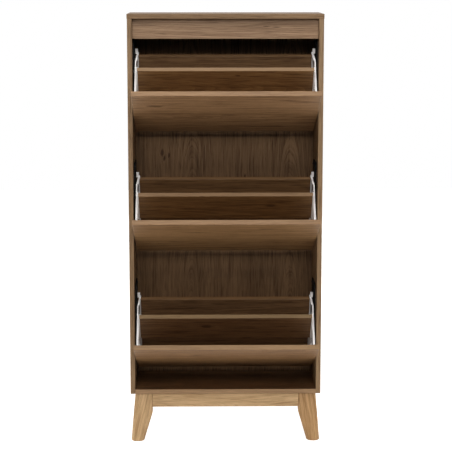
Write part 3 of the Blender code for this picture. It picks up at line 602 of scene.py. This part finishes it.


# ---------------------------------------------------------------- flaps and their boards
# Each flap is a foil-covered board, banded all round, that tips about its hinge. Behind it two more such
# boards, a divider and a rear board, hold the shoes. Their grain runs from side to side. Their colours are
# scaled to paint light and shade: the upper flap lighter and the lower one darker, the dividers and rear
# boards darker and warmer for the shade inside, and the edges lighter than the faces.
BOARDS = {"flap": (22.5, 0.0),          # degrees from level when open, and how far along the log it is cut
          "divider": (47.1, 0.5),
          "rear_board": (66.46, -0.4)}
LOG_PLACE = (0.03, 0.05)                # where the upper boards are cut across and through the log
LOG_STEP = (0.35, 0.05)                 # how far on along and across it the next tier's are
BOARD_LIGHT_AND_SHADE = {                         # painted light and shade of the faces and of the banding
    "upper_flap": ((1.23, 1.17, 1.12), (1.15, 1.08, 0.95)),
    "upper_divider": ((0.88, 0.77, 0.56), (1.04, 1.07, 1.08)),
    "upper_rear_board": ((0.64, 0.58, 0.52), (0.84, 0.77, 0.65)),
    "middle_flap": ((1.11, 1.04, 0.90), (1.08, 1.00, 0.86)),
    "middle_divider": ((0.70, 0.60, 0.42), (0.90, 0.90, 0.88)),
    "middle_rear_board": ((0.56, 0.47, 0.36), (0.84, 0.77, 0.65)),
    "lower_flap": ((0.85, 0.77, 0.66), (1.02, 0.97, 0.80)),
    "lower_divider": ((0.66, 0.58, 0.49), (0.82, 0.86, 0.76)),
    "lower_rear_board": ((0.62, 0.54, 0.46), (0.84, 0.77, 0.65))}
BOARD_KNOTS = {
    "upper_flap": ((-0.229, 0.088, 0.0085, 0.35), (0.193, 0.144, 0.004, 0.10), (0.014, -0.008, 0.005, 0.2),
                   (0.148, -0.136, 0.005, 0.09)),
    "upper_divider": ((0.041, 0.036, 0.004, 0.4),),
    "middle_flap": ((0.134, 0.130, 0.006, 0.25), (-0.18, -0.05, 0.005, 0.3)),
    "middle_divider": ((0.153, 0.008, 0.006, 0.4),),
    "lower_flap": ((-0.10, 0.07, 0.006, 0.3), (0.21, -0.02, 0.005, 0.25)),
    "lower_divider": ((-0.066, 0.010, 0.006, 0.35),),
    "lower_rear_board": ((-0.071, 0.020, 0.006, 0.3),)}

for count, tier in enumerate(TIERS):
    for part, (tilt, start) in BOARDS.items():
        node = f"{tier}_{part}"
        across = (0, -math.cos(math.radians(tilt)), math.sin(math.radians(tilt)))
        log = (start + LOG_STEP[0] * count, LOG_PLACE[0] + LOG_STEP[1] * count, LOG_PLACE[1])
        # each board's painted light and shade, on its faces and on its banded edges
        face_light_and_shade, edge_light_and_shade = BOARD_LIGHT_AND_SHADE[node]
        half = (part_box(node)[1].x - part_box(node)[0].x) / 2
        foiled(node, SIDEWAYS, across, log, tint=face_light_and_shade, knots=BOARD_KNOTS.get(node, ()), banded=half,
               band=edge_light_and_shade, arch=0.06, streaks=1.9)


# ---------------------------------------------------------------- tip frames
# White moulded plastic frames at the ends of each flap, ribbed and hollowed. A flange is screwed to the
# flap, seats grip the two inner boards, and a hub turns on the hinge plate's pin.
white_plastic = moulded("white_plastic", (0.890, 0.858, 0.835), roughness=0.38, shine=0.5, texture=0.00003)
for tier in TIERS:
    for side in SIDES:
        give(f"{tier}_tip_frame_{side}", white_plastic)


# ---------------------------------------------------------------- fixings
# Plated steel. Pan-head screws with a cross recess hold the hinge plates to the sides, blackened, and the
# tip frames to the flaps, bright zinc. Thin zinc nail heads lie along the back panel's sides and foot.
PLATE_SCREW = (0.0035, 0.0018, 0.0009)  # a head's radius and height, and its rim's rounding
FLANGE_SCREW = (0.0030, 0.0015, 0.0007)
NAIL = (0.0022, 0.0005, 0.0002)
HEAD_SIDES = 16
RECESS_WIDTH = 0.16                     # a cross's arm, as a share of the head's width
RECESS_LENGTH = 0.6                     # and from tip to tip
RECESS_FLOOR = 0.6                      # up the head, as a share of its height
HEAD_TURN = 0.7                         # radians from one head's cross to the next one's
PLATE_SPOTS = ((-0.010, 0.186), (0.088, 0.186), (0.088, 0.090), (0.040, 0.040), (0.088, -0.010))
PLATE_FACE = 0.3047                     # a hinge plate's inner face, from the middle
FLANGE_SPOTS = (-0.100, -0.010, 0.095)  # up the shut flap from its hinge
FLANGE_FACE = -0.0561                   # a flange's rear face, back from the hinge with the flap shut
FLANGE_MIDDLE = 0.2872                  # and its middle, from the cabinet's middle
NAIL_PITCH = 0.105
SMOOTH_ANGLE = math.radians(40)         # sharper edges than this stay sharp
PLATING_CLOUDS = (140.0, 140.0, 140.0)  # features per metre
PLATING_SPAN = (0.35, 0.65)             # noise from cloudy to bright
PLATING_ROUGH = (0.42, 0.28)
SCRATCHES = (300.0, 4000.0, 4000.0)
SCRATCH_DEPTH = 0.00002


def plating_group():
    """Plating that is cloudy in places and bright in others, with fine scratches."""
    inputs = [("Place", "Vector", (0, 0, 0)), ("Cloudy", "Color", (0, 0, 0, 1)),
              ("Bright", "Color", (1, 1, 1, 1))]
    outputs = [("Color", "Color"), ("Roughness", "Float"), ("Height", "Float")]
    tree, given, out = new_group("plating", inputs, outputs)
    cloud = stretched_noise(tree, given["Place"], PLATING_CLOUDS, 3.0)[0]
    tone = mix(tree, ramp(tree, cloud, *PLATING_SPAN), given["Cloudy"], given["Bright"])
    tree.links.new(tone, out["Color"])
    tree.links.new(ramp(tree, cloud, *NOISE_SPAN, *PLATING_ROUGH), out["Roughness"])
    tree.links.new(stretched_noise(tree, given["Place"], SCRATCHES, 2.0)[0], out["Height"])
    return tree


PLATING = plating_group()


def plated(name, cloudy, bright):
    """Plated steel between a cloudy tone and a bright one."""
    made, place = new_material(name)
    made.node_tree.nodes["Principled BSDF"].inputs["Metallic"].default_value = 1.0
    inputs = {"Place": place, "Cloudy": (*cloudy, 1.0), "Bright": (*bright, 1.0)}
    finish(made, grouped(made.node_tree, PLATING, inputs), SCRATCH_DEPTH, shine=0.5)
    return made


def only_object(made):
    """Leave one object selected and active."""
    bpy.ops.object.select_all(action="DESELECT")
    made.select_set(True)
    bpy.context.view_layer.objects.active = made


def head(size, crossed):
    """A round head that stands at the origin, with its rim rounded and, if it is crossed, a cross recess."""
    radius, rise, rounding = size
    bpy.ops.object.select_all(action="DESELECT")
    bpy.ops.mesh.primitive_cylinder_add(vertices=HEAD_SIDES, radius=radius, depth=rise,
                                        location=(0, 0, rise / 2))
    made = bpy.context.object
    bpy.ops.object.transform_apply(location=True, rotation=True, scale=True)
    bpy.ops.object.mode_set(mode="EDIT")
    bpy.ops.mesh.select_mode(type="EDGE")
    bpy.ops.mesh.select_all(action="DESELECT")
    mesh = bmesh.from_edit_mesh(made.data)
    for edge in mesh.edges:
        edge.select = all(vertex.co.z > rise / 2 for vertex in edge.verts)
    bmesh.update_edit_mesh(made.data)
    bpy.ops.mesh.bevel(offset=rounding, segments=2)
    bpy.ops.object.mode_set(mode="OBJECT")
    arms = ((RECESS_WIDTH, RECESS_LENGTH), (RECESS_LENGTH, RECESS_WIDTH)) if crossed else ()
    for width, length in arms:
        bpy.ops.object.select_all(action="DESELECT")
        bpy.ops.mesh.primitive_cube_add(size=1.0, location=(0, 0, rise * (RECESS_FLOOR + 0.5)),
                                        scale=(radius * 2 * width, radius * 2 * length, rise))
        slot = bpy.context.object
        only_object(made)
        cut = made.modifiers.new("recess", "BOOLEAN")
        cut.operation = "DIFFERENCE"
        cut.object = slot
        bpy.ops.object.modifier_apply(modifier=cut.name)
        bpy.data.objects.remove(slot)
    only_object(made)
    bpy.ops.object.shade_smooth_by_angle(angle=SMOOTH_ANGLE)
    return made


def set_heads(name, pattern, plating, spots, body):
    """Copies of one head, each turned to face its way at its spot, joined into one piece on a body."""
    copies = []
    for count, (spot, facing) in enumerate(spots):
        only_object(pattern)
        bpy.ops.object.duplicate(linked=False)
        copy = bpy.context.object
        spin = Matrix.Rotation(HEAD_TURN * count, 4, "Z")
        face = Vector(facing).to_track_quat("Z", "Y").to_matrix().to_4x4()
        copy.matrix_world = Matrix.Translation(spot) @ face @ spin
        copies.append(copy)
    bpy.ops.object.select_all(action="DESELECT")
    for copy in copies:
        copy.select_set(True)
    bpy.context.view_layer.objects.active = copies[0]
    bpy.ops.object.join()
    bpy.ops.object.transform_apply(location=True, rotation=True, scale=True)
    made = bpy.context.object
    made.name = name
    made.data.name = name
    made.data.materials.append(plating)
    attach(made, body)


zinc = plated("bright_zinc", (0.50, 0.49, 0.46), (0.66, 0.65, 0.61))
black_zinc = plated("black_zinc", (0.030, 0.030, 0.031), (0.055, 0.054, 0.054))
plate_head = head(PLATE_SCREW, crossed=True)
flange_head = head(FLANGE_SCREW, crossed=True)
nail_head = head(NAIL, crossed=False)
rearward = Vector(BACKWARD)
for joint in frame["joints"]:
    tier = joint["name"].split("_")[0]
    hinge = Vector(joint["pos_m"])
    opened = Matrix.Rotation(math.radians(joint["range_deg"][1]), 3, "X")
    for side, sign in SIDES.items():
        spots = [((sign * PLATE_FACE, hinge.y + back, hinge.z + up), (-sign, 0, 0))
                 for back, up in PLATE_SPOTS]
        set_heads(f"{tier}_plate_screws_{side}", plate_head, black_zinc, spots, "cabinet")
        spots = [(hinge + opened @ Vector((sign * FLANGE_MIDDLE, FLANGE_FACE, up)), opened @ rearward)
                 for up in FLANGE_SPOTS]
        set_heads(f"{tier}_flange_screws_{side}", flange_head, zinc, spots, f"{tier}_tip_out")

nail_reach = BOARD / 2 - side_high.x
nail_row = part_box("bottom_panel")[1].z - BOARD / 2
up_count = int((back_high.z - nail_row) / NAIL_PITCH)
across_count = int(2 * nail_reach / NAIL_PITCH)
across_pitch = 2 * nail_reach / across_count
spots = [((sign * nail_reach, back_high.y, nail_row + (step + 0.5) * NAIL_PITCH), rearward)
         for sign in (1, -1) for step in range(up_count)]
spots += [(((step + 0.5) * across_pitch - nail_reach, back_high.y, nail_row), rearward)
          for step in range(across_count)]
set_heads("back_panel_nails", nail_head, zinc, spots, "cabinet")
for pattern in (plate_head, flange_head, nail_head):
    bpy.data.objects.remove(pattern)
